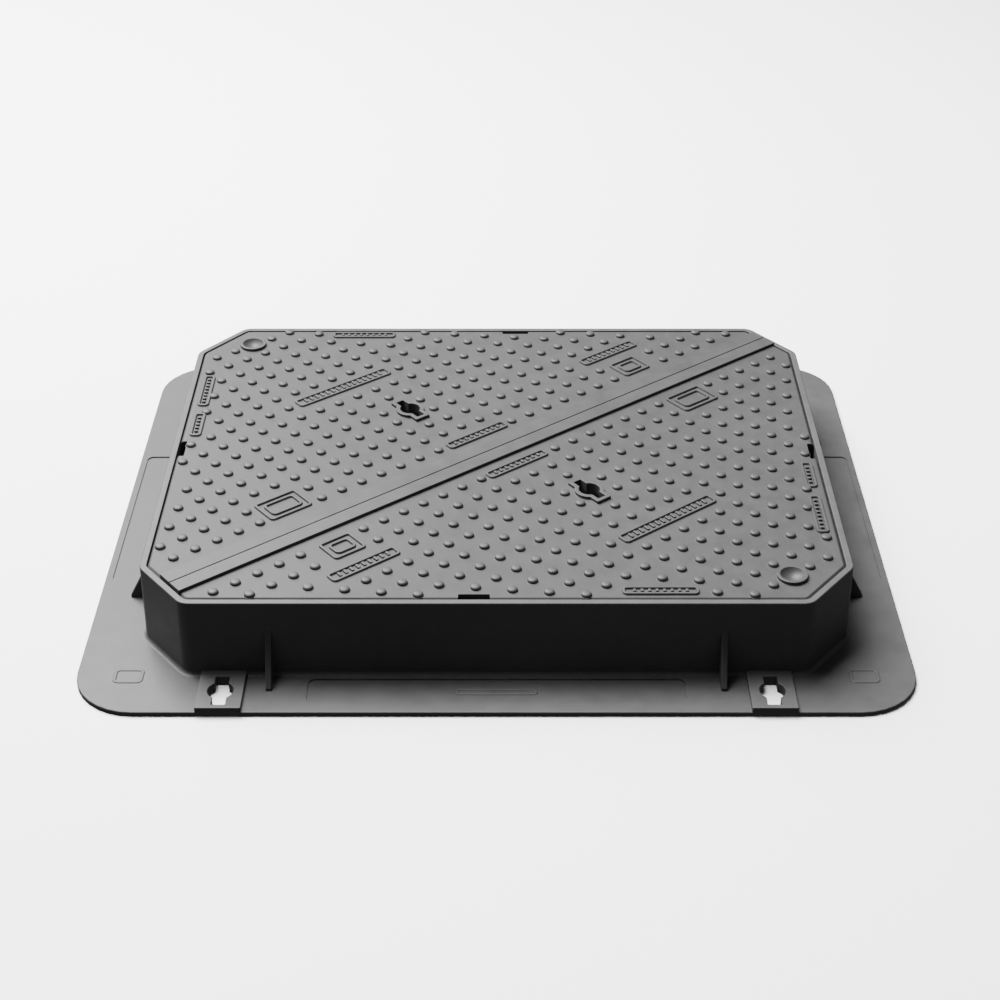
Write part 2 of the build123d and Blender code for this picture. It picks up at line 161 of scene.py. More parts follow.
# Finishes: linear colours, and lowest and highest roughness. Noise is (size of its patches in
# mm, detail, roughness), pits are (spacing in mm, size), relief is (depth in mm, strength).
COAT_DARK, COAT_LIGHT = 0.036, 0.054
LEAF_TONE = 0.76               # the leaves are a little darker than the frame
COAT_ROUGHNESS, COAT_IOR = (0.42, 0.58), 1.3
GRAIN, MOTTLE, CLOUDS = (1.1, 4, 0.62), (24, 4, 0.6), (160, 2, 0.5)
PITS, GRAIN_RELIEF = (5.5, 0.16), (0.16, 0.55)
MOTTLE_RANGE, RUB_RANGE = (0.35, 0.65), (0.3, 1)
SUM_RANGE, SHADE_RANGE = (0.7, 1.3), (0.15, 0.7)   # two noises added, and the shade they give
RUB_LIGHTENS, RUB_SMOOTHS = 0.3, 0.05
PITS_DARKEN, PITS_SINK = 0.25, 0.8
RIM_RUB, TREAD_RUB = 1, 1.5    # rubbed from 1 below the rim's top, and 1.5 above the plate
ZINC_DARK, ZINC_LIGHT = (0.38, 0.38, 0.37), (0.62, 0.62, 0.6)
ZINC_ROUGHNESS = (0.32, 0.52)
SPANGLE, STAIN, BRUSHING = (3.5, 3, 0.55), (14, 4, 0.65), (0.5, 3, 0.6)
ZINC_SUM_RANGE, BRUSHING_RELIEF = (0.75, 1.25), (0.05, 0.5)
FLOOR_COLOUR, FLOOR_ROUGHNESS, FLOOR_SIZE = (0.9, 0.9, 0.9), 0.9, 40000

# Camera, and softboxes as (place, target, size, power), in metres and watts
CAMERA_LENS, SENSOR_WIDTH = 69.2, 36
CAMERA_PLACE = (0.0038, -1.9673, 1.2880)
CAMERA_TILT = 32.62            # degrees below level
TOP_SOFTBOX = ((-1.1, 1.1, 3.2), (0, 0, 0.1), (2.2, 2.9), 900)
BACK_SOFTBOX = ((-2.4, 3.0, 2.2), (0, 0, 0.1), (3.0, 2.0), 200)
WORLD_STRENGTH = 0.22

DIAGONAL = math.atan2(CLEAR_Y, CLEAR_X)
COS, SIN = math.cos(DIAGONAL), math.sin(DIAGONAL)
RIM_CUT = (RIM_X / 2 - CORNER_LEG) * COS + RIM_Y / 2 * SIN
SEAT_CUT = RIM_CUT - RIM_LAND - SEAT_WIDTH
BLOCK_CUT = RIM_CUT - LEAF_INSET - CORNER_BLOCK
CORNER_ANGLES = (DIAGONAL, math.pi - DIAGONAL, math.pi + DIAGONAL, -DIAGONAL)
ALONG_JOINT = Matrix.Rotation(DIAGONAL, 4, "Z")
HALF_TURN = Matrix.Rotation(math.pi, 4, "Z")

# Blank raised borders on a leaf: centre, size, and True where they follow the joint
BORDERS = (
    ((56.5, -239), (139, 18), True),
    ((-2, -41), (88, 15), True),
    ((-262, -55), (42, 36), True),
    ((-264, -99), (90, 17), True),
    ((267, -56), (56, 40), True),
    ((175.5, -292), (82, 14), False),
    ((365, -142), (14, 76), False),
    ((365, -58), (14, 54), False),
)

# Places with no stud, as (lowest s, highest s, lowest row, highest row)
BARE_PLACES = (
    (-290, -245, 0, 1),
    (-310, -220, 2, 2),
    (-30, 30, 0, 0),
    (250, 282, 0, 1),
    (20, 30, 3, 4),
    (-5, 115, 7, 7),
    (250, 255, 8, 8),
    (-60, -50, 10, 10),
    (-30, -25, 11, 11),
    (190, 200, 11, 11),
    (80, 90, 13, 13),
)


# Outlines: lists of (x, y), anticlockwise

def from_joint(s, t):
    """The (x, y) of a place given along the joint and square to it."""
    return s * COS - t * SIN, s * SIN + t * COS


def round_corners(corners, radius):
    """An outline with each corner replaced by an arc, smaller where its sides are short."""
    outline = []
    count = len(corners)
    for i in range(count):
        here = Vector(corners[i])
        back = Vector(corners[i - 1]) - here
        ahead = Vector(corners[(i + 1) % count]) - here
        room = CORNER_SHARE * min(back.length, ahead.length)
        half_angle = back.angle(ahead) / 2
        reach = min(radius / math.tan(half_angle), room)
        arc_radius = reach * math.tan(half_angle)
        centre = here + (back.normalized() + ahead.normalized()).normalized() * (
            arc_radius / math.sin(half_angle)
        )
        first = here + back.normalized() * reach - centre
        last = here + ahead.normalized() * reach - centre
        turn = math.atan2(last.y, last.x) - math.atan2(first.y, first.x)
        sweep = (turn + math.pi) % math.tau - math.pi
        steps = max(2, round(abs(sweep) / (math.pi / 2) * PLAN_STEPS))
        for step in range(steps + 1):
            turned = first.copy()
            turned.rotate(Matrix.Rotation(sweep * step / steps, 2))
            outline.append(tuple(centre + turned))
    return outline


def rectangle(size, radius, centre=(0, 0)):
    x, y = size[0] / 2, size[1] / 2
    corners = [(-x, -y), (x, -y), (x, y), (-x, y)]
    return [(px + centre[0], py + centre[1]) for px, py in round_corners(corners, radius)]


def circle(radius, centre=(0, 0), count=32):
    turns = [math.tau * i / count for i in range(count)]
    return [(centre[0] + radius * math.cos(a), centre[1] + radius * math.sin(a)) for a in turns]


def octagon(inset, radius):
    """Plan of the rim, moved in by inset, with its corners cut square to the diagonals."""
    half_x = RIM_X / 2 - inset
    half_y = RIM_Y / 2 - inset
    cut = RIM_CUT - inset
    cut_x = (cut - half_y * SIN) / COS
    cut_y = (cut - half_x * COS) / SIN
    corners = [(half_x, -cut_y), (half_x, cut_y), (cut_x, half_y), (-cut_x, half_y)]
    corners += [(-x, -y) for x, y in corners]
    return round_corners(corners, radius)


def inset_outline(outline, inset):
    """The outline moved in by inset, or out if it is negative."""
    moved = []
    count = len(outline)
    for i in range(count):
        here = Vector(outline[i])
        back = (here - Vector(outline[i - 1])).normalized()
        ahead = (Vector(outline[(i + 1) % count]) - here).normalized()
        inward = Vector((-back.y - ahead.y, back.x + ahead.x)) / 2
        moved.append(tuple(here + inward * inset / inward.length_squared))
    return moved


# Solids: (points, faces)

def quarter(radius, steps=ARC_STEPS):
    """Steps round a quarter circle, as (distance along, distance up)."""
    turns = [math.pi / 2 * i / steps for i in range(steps + 1)]
    return [(radius * (1 - math.cos(a)), radius * math.sin(a)) for a in turns]


def edge_profile(bottom, top, bottom_round=0.0, top_round=0.0):
    """(inset, z) up the side of a solid with rounded edges."""
    rise = []
    if bottom_round:
        rise += [(bottom_round - up, bottom + along) for along, up in quarter(bottom_round)]
    else:
        rise.append((0.0, bottom))
    if top_round:
        rise += [(along, top - top_round + up) for along, up in quarter(top_round)]
    else:
        rise.append((0.0, top))
    return rise


def flared_profile(level, height, flare, top_round):
    """(inset, z) up the side of a raised feature that curves out into the face it stands on."""
    rise = [(-flare, level - ROOT)]
    rise += [(-flare + up, level + along + NUDGE) for along, up in quarter(flare)]
    rise += [(along, level + height - top_round + up) for along, up in quarter(top_round)]
    return rise


def mouth(top, radius, steps=ARC_STEPS):
    """(inset, z) at the top of a cutter, which widens so that the hole's edge is rounded."""
    rise = [(-along, top - radius + up + NUDGE) for along, up in quarter(radius, steps)]
    return rise + [(-radius, top + 2 * OVERCUT)]


def skin(count, rings, closed=False):
    """Quads between rings of count points each. Closed joins the last ring to the first."""
    faces = []
    for ring in range(rings if closed else rings - 1):
        low, high = ring * count, (ring + 1) % rings * count
        for i in range(count):
            j = (i + 1) % count
            faces.append((low + i, low + j, high + j, high + i))
    return faces


def capped(points, count):
    """A solid from rings of count points each, closed by a face at each end."""
    bottom = tuple(range(count - 1, -1, -1))
    top = tuple(range(len(points) - count, len(points)))
    return points, [bottom, *skin(count, len(points) // count), top]


def loft(outline, profile):
    """A solid whose section is the outline, moved in by each inset of the profile in turn."""
    points = [(*p, z) for inset, z in profile for p in inset_outline(outline, inset)]
    return capped(points, len(outline))


def lathe(profile, centre=(0, 0), count=24):
    """A solid turned about a vertical line. The profile's (radius, z) end at radius 0."""
    points = [(*p, z) for radius, z in profile[:-1] for p in circle(radius, centre, count)]
    tip = len(points)
    points.append((*centre, profile[-1][1]))
    faces = [tuple(range(count - 1, -1, -1)), *skin(count, len(profile) - 1)]
    last = tip - count
    faces += [(last + i, last + (i + 1) % count, tip) for i in range(count)]
    return points, faces


def moved(solid, matrix):
    points, faces = solid
    return [tuple(matrix @ Vector(p)) for p in points], faces


def joined(solids):
    """Several solids as one set of points and faces."""
    points, faces = [], []
    for more_points, more_faces in solids:
        start = len(points)
        points += more_points
        faces += [tuple(start + i for i in face) for face in more_faces]
    return points, faces


def new_object(name, solid):
    points, faces = solid
    mesh = bpy.data.meshes.new(name)
    mesh.from_pydata([Vector(p) * MM for p in points], [], faces)
    mesh.validate()
    made = bpy.data.objects.new(name, mesh)
    bpy.context.collection.objects.link(made)
    return made


def combine(target, solid, operation):
    """Joins a solid to the target, or cuts or intersects the target with it."""
    tool = new_object("tool", solid)
    modifier = target.modifiers.new("solid", "BOOLEAN")
    modifier.operation = operation
    modifier.solver = "MANIFOLD"
    modifier.object = tool
    bpy.context.view_layer.update()
    result = bpy.data.meshes.new_from_object(
        target.evaluated_get(bpy.context.evaluated_depsgraph_get())
    )
    target.modifiers.clear()
    before = target.data
    target.data = result
    bpy.data.meshes.remove(before)
    tool_mesh = tool.data
    bpy.data.objects.remove(tool)
    bpy.data.meshes.remove(tool_mesh)
    return target


def add(target, solid):
    return combine(target, solid, "UNION")


def cut(target, solid):
    return combine(target, solid, "DIFFERENCE")


def keep(target, solid):
    return combine(target, solid, "INTERSECT")


def taken_back(thing):
    """The points and faces of a helper object, in millimetres, and the helper removed."""
    points = [tuple(v.co / MM) for v in thing.data.vertices]
    faces = [tuple(p.vertices) for p in thing.data.polygons]
    bpy.data.objects.remove(thing)
    return points, faces


def finish_shading(piece):
    """Smooth rounds, crisp corners and flat faces."""
    piece.data.materials.clear()
    piece.data.shade_smooth()
    piece.data.set_sharp_from_angle(angle=SHARP_ANGLE)
    weighted = piece.modifiers.new("weighted_normals", "WEIGHTED_NORMAL")
    weighted.keep_sharp = True
    return piece


# Frame

def build_frame():
    flange = rectangle((FLANGE_X, FLANGE_Y), FLANGE_RADIUS)
    edge = edge_profile(0, FLANGE_THICKNESS, *FLANGE_ROUNDS)
    casting = new_object("frame_casting", loft(flange, edge))
    cut(casting, flange_panels())
    add(casting, flange_marks())
    add(casting, wall())
    add(casting, joined(fixing_lugs()))
    add(casting, joined(outer_gussets()))
    opening = octagon(RIM_LAND + WALL_LEDGE, RIM_RADIUS - RIM_LAND)
    cut(casting, loft(opening, edge_profile(-OVERCUT, FRAME_DEPTH + OVERCUT)))
    cut(casting, well())
    add(casting, corner_shelves())
    add(casting, joined(seat_webs()))
    for cutters in fixing_holes():
        cut(casting, joined(cutters))
    return casting


def wall():
    """Wall with a rounded top edge, a slight spread and a fillet at its foot."""
    foot = WALL_SPREAD + WALL_FILLET
    profile = [(-foot, FLANGE_THICKNESS / 2)]
    fillet = quarter(WALL_FILLET, FILLET_STEPS)
    profile += [(-foot + up, FLANGE_THICKNESS + along + NUDGE) for along, up in fillet]
    profile += [(along, FRAME_DEPTH - RIM_ROUND + up) for along, up in quarter(RIM_ROUND)]
    return loft(octagon(0, RIM_RADIUS), profile)


def well():
    """The space for the leaves, with the rim's inner edge rounded."""
    outline = octagon(RIM_LAND, RIM_RADIUS - RIM_LAND)
    profile = [(WELL_DRAFT, FLANGE_THICKNESS), (0, FRAME_DEPTH - WELL_LIP)]
    return loft(outline, profile + mouth(FRAME_DEPTH, LAND_ROUND))


def flange_panels():
    """Shallow sunk panels in the middle of each side of the flange."""
    level = FLANGE_THICKNESS - PANEL_DEPTH
    profile = [(PANEL_ROUND, level), (0, level + PANEL_ROUND), (0, level + 2 * OVERCUT)]
    plans = []
    for side in (-1, 1):
        plans.append(rectangle(LONG_PANEL, PANEL_RADIUS, (0, side * LONG_PANEL_Y)))
        plans.append(rectangle(SHORT_PANEL, PANEL_RADIUS, (side * SHORT_PANEL_X, 0)))
    return joined([loft(plan, profile) for plan in plans])


def border(size, radius, level, height, centre=(0, 0)):
    """Blank raised border: an outer and an inner outline joined by a rounded ridge."""
    outer = rectangle(size, radius, centre)
    hill = [(BORDER_SIDE[0][0], level - ROOT)]
    hill += [(inset, level + share * height) for inset, share in BORDER_SIDE]
    profile = hill + [(BORDER_WIDTH - inset, z) for inset, z in reversed(hill)]
    points = [(*p, z) for inset, z in profile for p in inset_outline(outer, inset)]
    return points, skin(len(outer), len(profile), closed=True)


def flange_marks():
    """Blank raised marks: one at each front corner and one in the front panel."""
    marks = []
    for side in (-1, 1):
        place = (side * MARK_PLACE[0], -MARK_PLACE[1])
        marks.append(border(MARK_SIZE, MARK_RADIUS, FLANGE_THICKNESS, MARK_HEIGHT, place))
    level = FLANGE_THICKNESS - PANEL_DEPTH
    marks.append(border(PLATE_MARK, PLATE_MARK_RADIUS, level, MARK_HEIGHT, (0, -LONG_PANEL_Y)))
    return joined(marks)


def fixing_lugs():
    """Thick pads between wall and flange edge, one for each fixing slot."""
    length = (FLANGE_Y - RIM_Y) / 2 + RIM_LAND / 2
    y = (FLANGE_Y - length) / 2
    lugs = []
    for x in (-LUG_X, LUG_X):
        for side in (-1, 1):
            plan = rectangle((LUG_WIDTH, length), LUG_RADIUS, (x, side * y))
            lugs.append(loft(plan, edge_profile(FOOT_RISE, LUG_HEIGHT, *LUG_ROUNDS)))
    return lugs


def fixing_holes():
    """Cutters for the fixing slots, and for the round holes across them."""
    profile = [(0, -OVERCUT)] + mouth(LUG_HEIGHT, FIXING_ROUND, SMALL_ARC_STEPS)
    places = [(x, y) for x in (-LUG_X, LUG_X) for y in (-FIXING_Y, FIXING_Y)]
    slots = [loft(rectangle(FIXING_SLOT, FIXING_RADIUS, place), profile) for place in places]
    holes = [loft(circle(FIXING_HOLE, place, HOLE_COUNT), profile) for place in places]
    return slots, holes


def standing_plate(corners, radius, thickness):
    """A plate on edge, drawn by its (outward, z) corners and centred on the xz plane."""
    sides = edge_profile(-thickness / 2, thickness / 2, WEB_ROUND, WEB_ROUND)
    plate = loft(round_corners(corners, radius), sides)
    return moved(plate, Matrix.Rotation(math.pi / 2, 4, "X"))


def outer_gussets():
    """Triangular ribs that stand on the flange against the wall."""
    corners = [
        (-RIM_LAND / 2, FLANGE_THICKNESS / 2),
        (GUSSET_REACH, FLANGE_THICKNESS / 2),
        (GUSSET_REACH, FLANGE_THICKNESS + GUSSET_TOE),
        (0, GUSSET_TOP),
        (-RIM_LAND / 2, GUSSET_TOP),
    ]
    upright = standing_plate(corners, GUSSET_RADIUS, GUSSET_THICKNESS)
    ribs = []
    for side in (-1, 1):
        for end in (-1, 1):
            long_place = Matrix.Translation((end * GUSSET_X, side * RIM_Y / 2, 0))
            ribs.append(moved(upright, long_place @ Matrix.Rotation(side * math.pi / 2, 4, "Z")))
            short_place = Matrix.Translation((side * RIM_X / 2, end * GUSSET_Y, 0))
            turn = Matrix.Rotation((1 - side) * math.pi / 2, 4, "Z")
            ribs.append(moved(upright, short_place @ turn))
    return ribs


def corner_shelves():
    """Shelves across the four corners of the frame, which carry the leaves."""
    plan = octagon(RIM_LAND / 2, RIM_RADIUS - RIM_LAND)
    ring = new_object("shelves", loft(plan, edge_profile(SEAT_TOP - SEAT_THICKNESS, SEAT_TOP)))
    depth = RIM_CUT + RIM_LAND - SEAT_CUT
    strip = loft(
        rectangle((depth, FLANGE_Y / 3), SEAT_RADIUS, (SEAT_CUT + depth / 2, 0)),
        edge_profile(SEAT_TOP - SEAT_THICKNESS, SEAT_TOP, *SEAT_ROUNDS),
    )
    keep(ring, joined([moved(strip, Matrix.Rotation(a, 4, "Z")) for a in CORNER_ANGLES]))
    return taken_back(ring)


def seat_webs():
    """Triangular webs under the shelves, along the diagonals."""
    wall_side = RIM_CUT - RIM_LAND / 2
    low_side = RIM_CUT - RIM_LAND - WALL_LEDGE
    under = SEAT_TOP - SEAT_THICKNESS / 2
    corners = [(wall_side, FOOT_RISE), (wall_side, under)]
    corners += [(SEAT_CUT + GUSSET_TOE, under), (low_side - SEAT_WEB_SETBACK, FOOT_RISE)]
    upright = standing_plate(corners, SEAT_WEB_RADIUS, SEAT_WEB)
    return [moved(upright, Matrix.Rotation(a, 4, "Z")) for a in CORNER_ANGLES]


# Leaf

def build_leaf():
    """The front leaf, with its ribs, tread, key slot, bowl, notches and bolt bosses."""
    body = octagon(LEAF_INSET, RIM_RADIUS - LEAF_INSET)
    leaf = new_object("front_leaf_casting", loft(body, leaf_edge()))
    keep(leaf, joint_side())
    cut(leaf, joined(pockets()))
    add(leaf, joined(bolt_bosses()))
    cut(leaf, joined(bolt_holes()))
    add(leaf, joined(seat_feet()))
    add(leaf, band())
    for plan in key_plans(KEY_LIP, KEY_LIP_RADIUS):
        add(leaf, key_lip(plan))
    for plan in key_plans(0, KEY_RADIUS):
        cut(leaf, key_cutter(plan))
    add(leaf, joined(raised_borders()))
    add(leaf, bowl_ring())
    cut(leaf, bowl_dish())
    cut(leaf, joined(notches()))
    add(leaf, joined(studs()))
    return leaf


def leaf_edge():
    """Outer side of a leaf: a rounded foot and a chamfer at the top with soft corners."""
    foot = [(inset, RIB_FOOT + rise) for inset, rise in LEAF_FOOT]
    return foot + [(inset, LEAF_TOP + rise) for inset, rise in LEAF_CHAMFER]


def joint_side():
    """A block over everything on the front leaf's side of the joint."""
    plan = rectangle((3 * RIM_X, RIM_X), NEARLY_SHARP, (0, -JOINT_EDGE - RIM_X / 2))
    side = edge_profile(RIB_FOOT - OVERCUT, LEAF_TOP + OVERCUT)
    return moved(loft(plan, side), ALONG_JOINT)


def clip(polygon, normal, limit):
    """The part of a convex polygon where normal . point is at most limit."""
    kept = []
    for i, here in enumerate(polygon):
        there = polygon[(i + 1) % len(polygon)]
        a = here[0] * normal[0] + here[1] * normal[1] - limit
        b = there[0] * normal[0] + there[1] * normal[1] - limit
        if a <= 0:
            kept.append(here)
        if a * b < 0:
            share = a / (a - b)
            kept.append(tuple(Vector(here).lerp(Vector(there), share)))
    return kept


def without_short_sides(polygon, shortest):
    """Joins the ends of each side that is too short to round."""
    corners = [Vector(p) for p in polygon]
    i = 0
    while i < len(corners) and len(corners) > 3:
        there = corners[(i + 1) % len(corners)]
        if (there - corners[i]).length < shortest:
            corners[i] = (corners[i] + there) / 2
            corners.remove(there)
            i = 0
        else:
            i += 1
    return [tuple(p) for p in corners]


def area_of(polygon):
    return sum(
        a[0] * b[1] - b[0] * a[1] for a, b in zip(polygon, polygon[1:] + polygon[:1])
    ) / 2


def cells():
    """Rectangles between the ribs as (low s, high s, low t, high t)."""
    half = (RIB_PITCH - RIB) / 2
    key_t = KEY_PLACE[1]
    found = [(-RIB_PITCH + RIB / 2, RIB_PITCH - RIB / 2, key_t - half, key_t + half)]
    for column in range(-RIB_COLUMNS, RIB_COLUMNS):
        s = (column + 0.5) * RIB_PITCH
        found.append((s - half, s + half, -FIRST_RIB + RIB / 2, 0))
        for row in range(RIB_ROWS):
            t = -FIRST_RIB - (row + 0.5) * RIB_PITCH
            if row or column not in (-1, 0):
                found.append((s - half, s + half, t - half, t + half))
    return found


def leaf_limits(inset, corner_cut):
    """(normal, limit) of the front leaf's sides, its corner cuts and its joint, moved in."""
    walls = [((1, 0), RIM_X / 2), ((-1, 0), RIM_X / 2), ((0, 1), RIM_Y / 2), ((0, -1), RIM_Y / 2)]
    limits = [(normal, edge - LEAF_INSET - inset) for normal, edge in walls]
    limits += [((math.cos(a), math.sin(a)), corner_cut) for a in CORNER_ANGLES]
    return limits + [((-SIN, COS), -JOINT_SKIRT)]


def trimmed(polygon, limits, shortest, radius):
    """The polygon within the limits with rounded corners, or None where too little is left."""
    for normal, limit in limits:
        polygon = clip(polygon, normal, limit)
    if len(polygon) < 3 or area_of(polygon) <= SMALLEST_PLAN:
        return None
    return round_corners(without_short_sides(polygon, shortest), radius)


def pockets():
    """Drafted, rounded hollows between the ribs, open at the bottom."""
    limits = leaf_limits(SKIRT, BLOCK_CUT)
    rise = LEAF_TOP - PLATE - RIB_FOOT
    profile = [(-RIB_ROUND, RIB_FOOT - OVERCUT)]
    foot = quarter(RIB_ROUND, SMALL_ARC_STEPS)
    profile += [(-RIB_ROUND + up, RIB_FOOT + along - NUDGE) for along, up in foot]
    roof = RIB_FOOT + rise - POCKET_ROUND
    profile += [(along, roof + up) for along, up in quarter(POCKET_ROUND)]
    profile = [(inset + POCKET_DRAFT * max(z - RIB_FOOT, 0), z) for inset, z in profile]
    hollows = []
    for low_s, high_s, low_t, high_t in cells():
        corners = [(low_s, low_t), (high_s, low_t), (high_s, high_t), (low_s, high_t)]
        plan = [from_joint(s, t) for s, t in corners]
        plan = trimmed(plan, limits, SHORTEST_POCKET_SIDE, POCKET_RADIUS)
        if plan:
            hollows.append(loft(plan, profile))
    return hollows


def across_joint(s, t, solid):
    """Places a solid drawn along +z so that it runs square to the joint, from t towards +t."""
    axes = Matrix(((0, 1, 0, s), (0, 0, 1, t), (1, 0, 0, BOLT_Z), (0, 0, 0, 1)))
    return moved(solid, ALONG_JOINT @ axes)


def bolt_bosses():
    boss = loft(circle(BOSS_RADIUS, count=40), edge_profile(0, BOSS_T / 2, BOSS_ROUND))
    return [across_joint(s, -BOSS_T, boss) for s in (-BOLT_S, BOLT_S)]


def bolt_holes():
    hole = loft(circle(BOSS_HOLE), edge_profile(-BOSS_T, BOSS_T))
    return [across_joint(s, -BOSS_T, hole) for s in (-BOLT_S, BOLT_S)]


def seat_feet():
    """Pads under the leaf's corner blocks that rest on the frame's shelves."""
    limits = leaf_limits(FOOT_INSET, RIM_CUT - LEAF_INSET - FOOT_INSET)
    pads = []
    for angle in CORNER_ANGLES:
        toward = Vector((math.cos(angle), math.sin(angle)))
        plan = [(-RIM_CUT, -RIM_CUT), (RIM_CUT, -RIM_CUT), (RIM_CUT, RIM_CUT), (-RIM_CUT, RIM_CUT)]
        inner_side = (tuple(-toward), -(SEAT_CUT + FOOT_SETBACK))
        plan = trimmed(plan, [inner_side, *limits], FOOT_RADIUS, FOOT_RADIUS)
        if plan:
            pads.append(loft(plan, edge_profile(SEAT_TOP, RIB_FOOT + FOOT_HEIGHT, FOOT_ROUND)))
    return pads


def band():
    """Smooth raised band along the joint, rounded along its long edges."""
    half = BAND - JOINT_EDGE
    plan = rectangle((3 * RIM_X, half), NEARLY_SHARP, (0, -JOINT_EDGE - half / 2))
    side = [(0.0, LEAF_TOP - BAND_ROOT), (0.0, TREAD_TOP - BAND_ROUND)]
    side += [(along, TREAD_TOP - BAND_ROUND + up) for along, up in quarter(BAND_ROUND)]
    strip = new_object("band", moved(loft(plan, side), ALONG_JOINT))
    outline = octagon(LEAF_INSET, RIM_RADIUS - LEAF_INSET)
    below = LEAF_TOP - BAND_ROOT - OVERCUT
    keep(strip, loft(outline, edge_profile(below, TREAD_TOP, 0, BAND_ROUND)))
    return taken_back(strip)


def key_plans(margin, radius):
    """Outlines of the key slot and of the round hole across it, moved out by margin."""
    slot = rectangle([side + 2 * margin for side in KEY_SLOT], radius, KEY_PLACE)
    return slot, circle(KEY_HOLE + margin, KEY_PLACE, HOLE_COUNT)


def key_lip(plan):
    return moved(loft(plan, flared_profile(LEAF_TOP, RELIEF, *KEY_LIP_ROUNDS)), ALONG_JOINT)


def key_cutter(plan):
    profile = [(0, LEAF_TOP - 2 * PLATE)] + mouth(TREAD_TOP, KEY_ROUND, SMALL_ARC_STEPS)
    return moved(loft(plan, profile), ALONG_JOINT)


def filling(size, centre):
    """Plain bars across a long border, or a smaller border inside one that is nearly square."""
    x, y = size
    if max(x, y) < 2 * min(x, y):
        inner = (x - 2 * INNER_BORDER_STEP, y - 2 * INNER_BORDER_STEP)
        return [border(inner, INNER_BORDER_RADIUS, LEAF_TOP, BORDER_HEIGHT, centre)]
    bar_length = min(x, y) - 2 * BORDER_WIDTH - BAR_WIDTH
    count = int((max(x, y) - 4 * BORDER_WIDTH) / BAR_PITCH)
    bars = []
    for i in range(count):
        step = (i - (count - 1) / 2) * BAR_PITCH
        if x > y:
            bar, place = (BAR_WIDTH, bar_length), (centre[0] + step, centre[1])
        else:
            bar, place = (bar_length, BAR_WIDTH), (centre[0], centre[1] + step)
        plan = rectangle(bar, BAR_RADIUS, place)
        bars.append(loft(plan, flared_profile(LEAF_TOP, BORDER_HEIGHT, *BAR_ROUNDS)))
    return bars


def raised_borders():
    shapes = []
    for centre, size, along in BORDERS:
        outer = border(size, BORDER_RADIUS, LEAF_TOP, BORDER_HEIGHT, centre)
        for shape in [outer, *filling(size, centre)]:
            shapes.append(moved(shape, ALONG_JOINT) if along else shape)
    return shapes


def bowl_ring():
    plan = circle(BOWL_OUTER, BOWL_PLACE, HOLE_COUNT)
    return loft(plan, flared_profile(LEAF_TOP, RELIEF, *BOWL_ROUNDS))


def bowl_dish():
    """Spherical dish with a rounded lip."""
    radius = (BOWL_INNER**2 + BOWL_DEPTH**2) / (2 * BOWL_DEPTH)
    centre_z = TREAD_TOP - BOWL_DEPTH + radius
    reach = math.asin(BOWL_INNER / radius)
    profile = [(BOWL_INNER + outset, TREAD_TOP + rise) for outset, rise in BOWL_LIP]
    for step in range(BOWL_STEPS):
        angle = reach * (1 - step / BOWL_STEPS) * BOWL_REACH
        profile.append((radius * math.sin(angle), centre_z - radius * math.cos(angle)))
    profile.append((0, centre_z - radius))
    points, faces = lathe(profile, BOWL_PLACE, HOLE_COUNT)
    return points, [tuple(reversed(face)) for face in faces]


def notches():
    """Pockets in the leaf's outer edges for a lifting bar."""
    x = RIM_X / 2 - LEAF_INSET
    y = -RIM_Y / 2 + LEAF_INSET
    length, width, depth = NOTCH
    profile = edge_profile(LEAF_TOP - depth, LEAF_TOP + OVERCUT, NOTCH_ROUND)
    front = rectangle((length, 2 * width), NOTCH_RADIUS, (FRONT_NOTCH_X, y))
    side = rectangle((2 * width, length), NOTCH_RADIUS, (x, SIDE_NOTCH_Y))
    return [loft(front, profile), loft(side, profile)]


def stud_places():
    """Centres of the studs on the front leaf, on a square lattice along the joint."""
    places = []
    for row in range(STUD_ROWS):
        for column in range(-STUD_COLUMNS, STUD_COLUMNS + 1):
            s = STUD_PITCH * column
            t = -FIRST_STUD - STUD_PITCH * row
            bare = any(
                low <= s <= high and first <= row <= last for low, high, first, last in BARE_PLACES
            )
            x, y = from_joint(s, t)
            room_x = RIM_X / 2 - LEAF_INSET - abs(x)
            room_y = RIM_Y / 2 - LEAF_INSET - abs(y)
            room_cut = RIM_CUT - LEAF_INSET - abs(x) * COS - abs(y) * SIN
            if not bare and min(room_x, room_y, room_cut) >= STUD_MARGIN:
                places.append((x, y))
    return places


def studs():
    """Domed studs with a small fillet where they meet the plate."""
    profile = [(STUD_RADIUS + outset, LEAF_TOP + rise) for outset, rise in STUD_FOOT]
    for step in range(1, STUD_STEPS):
        angle = math.pi / 2 * step / STUD_STEPS
        radius = STUD_RADIUS * math.cos(angle) ** STUD_FULLNESS
        profile.append((radius, LEAF_TOP + STUD_DOME + (RELIEF - STUD_DOME) * math.sin(angle)))
    profile.append((0, TREAD_TOP))
    return [lathe(profile, place) for place in stud_places()]


# Fasteners

def hexagon():
    radius = ACROSS_FLATS / 2 / math.cos(math.pi / 6)
    return round_corners(circle(radius, count=6), HEX_RADIUS)


def chamfer_cone(bottom, top, both_ends):
    """A round blank with chamfered ends, which trims the corners of a hexagon."""
    widest = ACROSS_FLATS / 2 / math.cos(math.pi / 6) + CONE_MARGIN
    flat = ACROSS_FLATS / 2 - CHAMFER_INSET
    fall = (widest - flat) * math.tan(HEX_CHAMFER)
    profile = [(widest - flat, bottom), (0, bottom + fall)]
    profile += [(0, top - fall), (widest - flat, top)] if both_ends else [(0, top)]
    return loft(circle(widest, count=72), profile)


